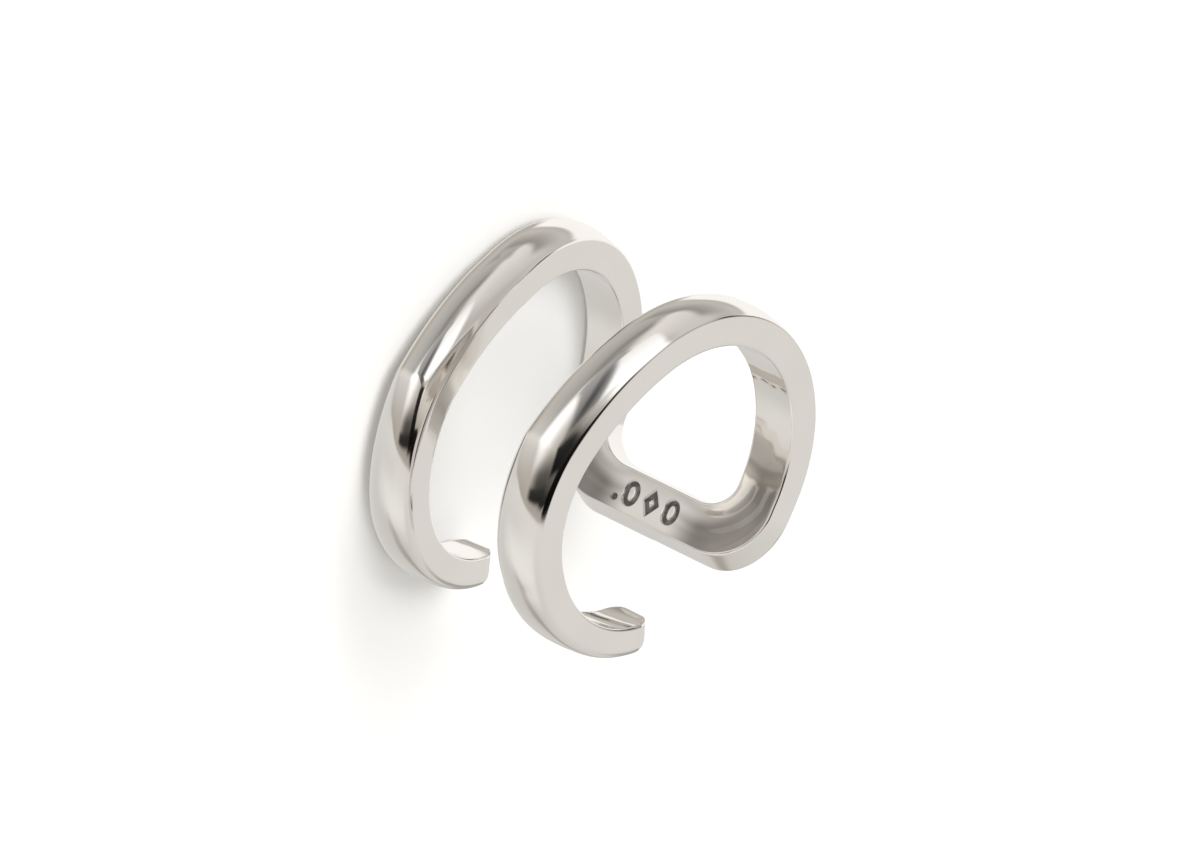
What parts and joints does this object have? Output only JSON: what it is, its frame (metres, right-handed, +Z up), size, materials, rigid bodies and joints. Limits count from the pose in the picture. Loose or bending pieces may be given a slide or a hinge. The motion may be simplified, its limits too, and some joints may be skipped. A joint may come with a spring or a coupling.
{
  "type": "double-band ear cuff",
  "caption": "Open ear cuff: parallel C-shaped bands of domed wire joined by a bridge, clipped over the rim of the ear.",
  "frame": {"origin": "centre of the bounding box's bottom face, with the cuff lying on the flat side face of one band", "axes": "+Z up from the resting face across the width of the cuff, +X from the front legs toward the back legs, +Y from the feet toward the crown"},
  "size_m": [0.0134, 0.0118, 0.0087],
  "materials": {
    "silver": "polished"
  },
  "bodies": {
    "root": {"ear_cuff": "silver"}
  },
  "joints": []
}
